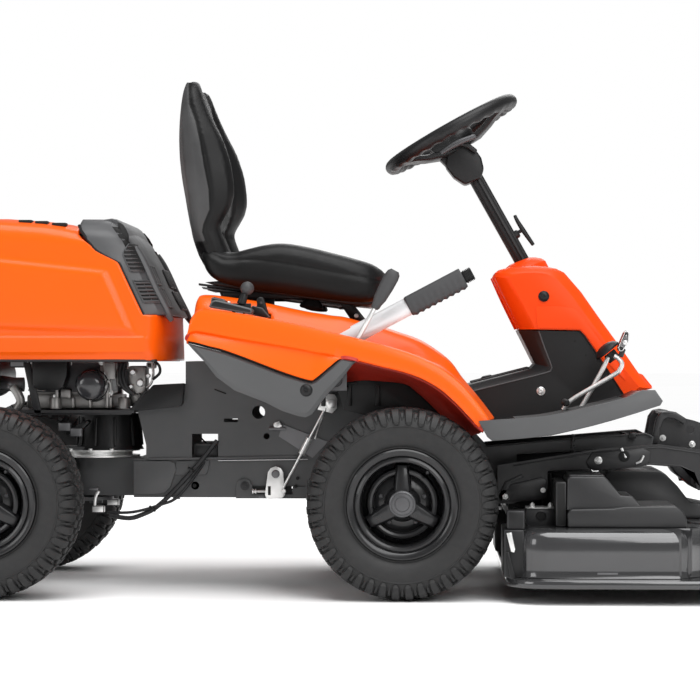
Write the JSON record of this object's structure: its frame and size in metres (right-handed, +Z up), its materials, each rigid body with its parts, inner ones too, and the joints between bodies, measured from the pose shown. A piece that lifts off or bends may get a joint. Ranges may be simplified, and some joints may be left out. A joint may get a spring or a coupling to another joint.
{
  "type": "riding lawn mower",
  "caption": "Riding lawn mower with a front cutting deck, steered rear axle, rear engine under a tilting hood, seat and levers.",
  "frame": {"origin": "middle of the machine's footprint on the ground, 146 mm behind the front axle", "axes": "+X forward towards the cutting deck, +Y to the rider's left, +Z up"},
  "size_m": [2.028, 1, 1.116],
  "materials": {
    "black_steel": "semi-gloss powder coat",
    "beam_steel": "semi-gloss powder coat",
    "axle_cast": "painted casting",
    "engine_plate_steel": "semi-gloss",
    "engine_casting": "dark sand-cast",
    "blower_plastic": "moulded",
    "filter_paint": "gloss can",
    "carburettor_casting": "die-cast",
    "muffler_steel": "heat-dulled",
    "battery_case": "moulded",
    "tank_plastic": "translucent moulding",
    "fuel_cap_plastic": "ribbed",
    "yoke_steel": "semi-gloss",
    "ring_zinc": "zinc plated",
    "transaxle_casting": "cast",
    "orange_body": "glossy orange",
    "console_grey": "textured grey",
    "cover_grey": "textured dark grey",
    "orange_cowl": "glossy orange",
    "tunnel_black": "textured black",
    "foot_grey": "textured grey",
    "screw_black": "black oxide",
    "bracket_grey": "grey paint",
    "hose_rubber": "matt",
    "orange_hood": "glossy orange",
    "vent_grey": "textured dark grey",
    "column_steel": "semi-gloss",
    "column_cover": "ribbed",
    "knob_black": "moulded",
    "wheel_grip": "soft-touch",
    "rail_steel": "zinc plated",
    "pan_black": "moulded shell",
    "seat_vinyl": "black vinyl",
    "back_vinyl": "black vinyl",
    "lever_steel": "satin tube",
    "grip_rubber": "moulded grip",
    "button_black": "ribbed",
    "height_black": "moulded",
    "throttle_steel": "ball on a steel stem",
    "choke_black": "moulded",
    "crank_zinc": "zinc plated",
    "rod_zinc": "zinc plated",
    "pedal_steel": "satin rod, rubber pad",
    "reverse_steel": "satin rod, rubber pad",
    "brake_steel": "satin rod, rubber pad",
    "deck_grey": "glossy grey enamel",
    "belt_cover_black": "moulded",
    "spindle_casting": "painted casting",
    "equipment_black": "semi-gloss powder coat",
    "blade_steel_left": "ground edge",
    "blade_steel_center": "ground edge",
    "blade_steel_right": "ground edge",
    "tyre_rubber": "treaded",
    "rim_black": "satin black"
  },
  "bodies": {
    "chassis": {"frame_plates": "black_steel", "lower_beam": "beam_steel", "front_axle": "axle_cast", "engine_plate": "engine_plate_steel", "engine_block": "engine_casting", "blower_housing": "blower_plastic", "oil_filter": "filter_paint", "carburettor": "carburettor_casting", "muffler": "muffler_steel", "battery": "battery_case", "fuel_tank": "tank_plastic", "body_shell": "orange_body", "console": "console_grey", "side_covers": "cover_grey", "cowl": "orange_cowl", "tunnel_panels": "tunnel_black", "foot_plates": "foot_grey", "cover_screws": "screw_black", "link_brackets": "bracket_grey", "hoses": "hose_rubber", "column_tube": "column_steel"},
    "fuel_cap": {"fuel_cap": "fuel_cap_plastic"},
    "rear_unit": {"rear_yoke": "yoke_steel", "steering_ring": "ring_zinc", "transaxle": "transaxle_casting"},
    "wheel_front_right": {"tyre_front_right": "tyre_rubber", "rim_front_right": "rim_black"},
    "wheel_front_left": {"tyre_front_left": "tyre_rubber", "rim_front_left": "rim_black"},
    "wheel_rear_right": {"tyre_rear_right": "tyre_rubber", "rim_rear_right": "rim_black"},
    "wheel_rear_left": {"tyre_rear_left": "tyre_rubber", "rim_rear_left": "rim_black"},
    "hood": {"hood": "orange_hood", "hood_vent": "vent_grey"},
    "column": {"column_sleeve": "column_cover"},
    "column_knob": {"column_knob": "knob_black"},
    "steering_wheel": {"steering_wheel": "wheel_grip"},
    "seat_base": {"seat_rails": "rail_steel"},
    "seat": {"seat_pan": "pan_black", "seat_cushion": "seat_vinyl", "seat_back": "back_vinyl"},
    "lift_lever": {"lift_lever": "lever_steel", "lift_grip": "grip_rubber"},
    "lift_button": {"lift_button": "button_black"},
    "height_lever": {"height_lever": "height_black"},
    "throttle_lever": {"throttle_lever": "throttle_steel"},
    "choke_lever": {"choke_lever": "choke_black"},
    "bellcrank": {"bellcrank": "crank_zinc"},
    "lift_rod": {"lift_rod": "rod_zinc"},
    "forward_pedal": {"forward_pedal": "pedal_steel"},
    "reverse_pedal": {"reverse_pedal": "reverse_steel"},
    "brake_pedal": {"brake_pedal": "brake_steel"},
    "equipment_frame": {"equipment_frame": "equipment_black"},
    "deck": {"deck_shell": "deck_grey", "belt_covers": "belt_cover_black", "spindle_housings": "spindle_casting"},
    "blade_left": {"blade_left": "blade_steel_left"},
    "blade_center": {"blade_center": "blade_steel_center"},
    "blade_right": {"blade_right": "blade_steel_right"}
  },
  "joints": [
    {"name": "fuel_cap_turn", "type": "hinge", "parent": "chassis", "child": "fuel_cap", "pos_m": [-0.184, 0, 0.62], "axis": [0, 0, 1], "range_deg": [0, 90]},
    {"name": "rear_steer", "type": "hinge", "parent": "chassis", "child": "rear_unit", "pos_m": [-0.554, 0, 0.245], "axis": [0, 0, 1], "range_deg": [-30, 30]},
    {"name": "wheel_front_right_spin", "type": "hinge", "parent": "chassis", "child": "wheel_front_right", "pos_m": [0.146, -0.36, 0.2035], "axis": [0, 1, 0], "continuous": true},
    {"name": "wheel_front_left_spin", "type": "hinge", "parent": "chassis", "child": "wheel_front_left", "pos_m": [0.146, 0.36, 0.2035], "axis": [0, 1, 0], "continuous": true},
    {"name": "wheel_rear_right_spin", "type": "hinge", "parent": "rear_unit", "child": "wheel_rear_right", "pos_m": [-0.739, -0.36, 0.2035], "axis": [0, 1, 0], "continuous": true},
    {"name": "wheel_rear_left_spin", "type": "hinge", "parent": "rear_unit", "child": "wheel_rear_left", "pos_m": [-0.739, 0.36, 0.2035], "axis": [0, 1, 0], "continuous": true},
    {"name": "hood_open", "type": "hinge", "parent": "chassis", "child": "hood", "pos_m": [-0.979, 0, 0.515], "axis": [0, -1, 0], "range_deg": [0, 60]},
    {"name": "column_height", "type": "slide", "parent": "chassis", "child": "column", "axis": [-0.4879, 0, 0.8729], "range_m": [-0.03, 0.03]},
    {"name": "column_knob_turn", "type": "hinge", "parent": "column", "child": "column_knob", "pos_m": [0.38377, 0, 0.7798], "axis": [0.8729, 0, 0.4879], "range_deg": [-90, 90]},
    {"name": "steering_wheel_turn", "type": "hinge", "parent": "column", "child": "steering_wheel", "pos_m": [0.254, 0, 1.012], "axis": [-0.4879, 0, 0.8729], "range_deg": [-275, 275]},
    {"name": "seat_tilt", "type": "hinge", "parent": "chassis", "child": "seat_base", "pos_m": [0.041, 0, 0.603], "axis": [0, 1, 0], "range_deg": [0, 24]},
    {"name": "seat_slide", "type": "slide", "parent": "seat_base", "child": "seat", "axis": [0.9907, 0, -0.1357], "range_m": [-0.03, 0.05]},
    {"name": "lift_lever_swing", "type": "hinge", "parent": "chassis", "child": "lift_lever", "pos_m": [-0.061, -0.325, 0.503], "axis": [0, -1, 0], "range_deg": [0, 45.5]},
    {"name": "lift_button_press", "type": "slide", "parent": "lift_lever", "child": "lift_button", "axis": [-0.8846, 0, -0.4664], "range_m": [0, 0.003]},
    {"name": "height_lever_swing", "type": "hinge", "parent": "chassis", "child": "height_lever", "pos_m": [0.004, -0.372, 0.463], "axis": [0, 1, 0], "range_deg": [-15, 20]},
    {"name": "throttle_swing", "type": "hinge", "parent": "chassis", "child": "throttle_lever", "pos_m": [-0.199, -0.352, 0.597], "axis": [0, 1, 0], "range_deg": [-12, 12]},
    {"name": "choke_swing", "type": "hinge", "parent": "chassis", "child": "choke_lever", "pos_m": [-0.155, -0.298, 0.606], "axis": [0, 1, 0], "range_deg": [0, 20]},
    {"name": "bellcrank_turn", "type": "hinge", "parent": "chassis", "child": "bellcrank", "pos_m": [-0.137, -0.134, 0.253], "axis": [0, -1, 0], "range_deg": [0, 20.5]},
    {"name": "lift_rod_turn", "type": "hinge", "parent": "bellcrank", "child": "lift_rod", "pos_m": [-0.119, -0.14, 0.224], "axis": [0, -1, 0], "range_deg": [-20.5, 0]},
    {"name": "forward_pedal_press", "type": "hinge", "parent": "chassis", "child": "forward_pedal", "pos_m": [0.498, -0.234, 0.413], "axis": [0, 1, 0], "range_deg": [-12, 12]},
    {"name": "reverse_pedal_press", "type": "hinge", "parent": "chassis", "child": "reverse_pedal", "pos_m": [0.498, -0.2, 0.413], "axis": [0, 1, 0], "range_deg": [-12.5, 12.5]},
    {"name": "brake_pedal_press", "type": "hinge", "parent": "chassis", "child": "brake_pedal", "pos_m": [0.498, 0.22, 0.413], "axis": [0, 1, 0], "range_deg": [0, 15]},
    {"name": "deck_lift", "type": "hinge", "parent": "chassis", "child": "equipment_frame", "pos_m": [0.366, 0, 0.21], "axis": [0, -1, 0], "range_deg": [0, 8]},
    {"name": "deck_height", "type": "slide", "parent": "equipment_frame", "child": "deck", "axis": [0, 0, 1], "range_m": [-0.015, 0.02]},
    {"name": "blade_center_spin", "type": "hinge", "parent": "deck", "child": "blade_center", "pos_m": [0.766, 0, 0.062], "axis": [0, 0, 1], "continuous": true},
    {"name": "blade_left_spin", "type": "hinge", "parent": "deck", "child": "blade_left", "pos_m": [0.576, 0.305, 0.062], "axis": [0, 0, 1], "continuous": true},
    {"name": "blade_right_spin", "type": "hinge", "parent": "deck", "child": "blade_right", "pos_m": [0.576, -0.305, 0.062], "axis": [0, 0, 1], "continuous": true}
  ],
  "couplings": [
    {"joint": "steering_wheel_turn", "follows": "rear_steer", "ratio": -9},
    {"joint": "lift_lever_swing", "follows": "deck_lift", "ratio": 5.625},
    {"joint": "bellcrank_turn", "follows": "deck_lift", "ratio": 2.5},
    {"joint": "lift_rod_turn", "follows": "deck_lift", "ratio": -2.5},
    {"joint": "height_lever_swing", "follows": "deck_height", "rad_per_m": 15},
    {"joint": "reverse_pedal_press", "follows": "forward_pedal_press", "ratio": -1},
    {"joint": "blade_left_spin", "follows": "blade_center_spin", "ratio": 1},
    {"joint": "blade_right_spin", "follows": "blade_center_spin", "ratio": 1}
  ]
}
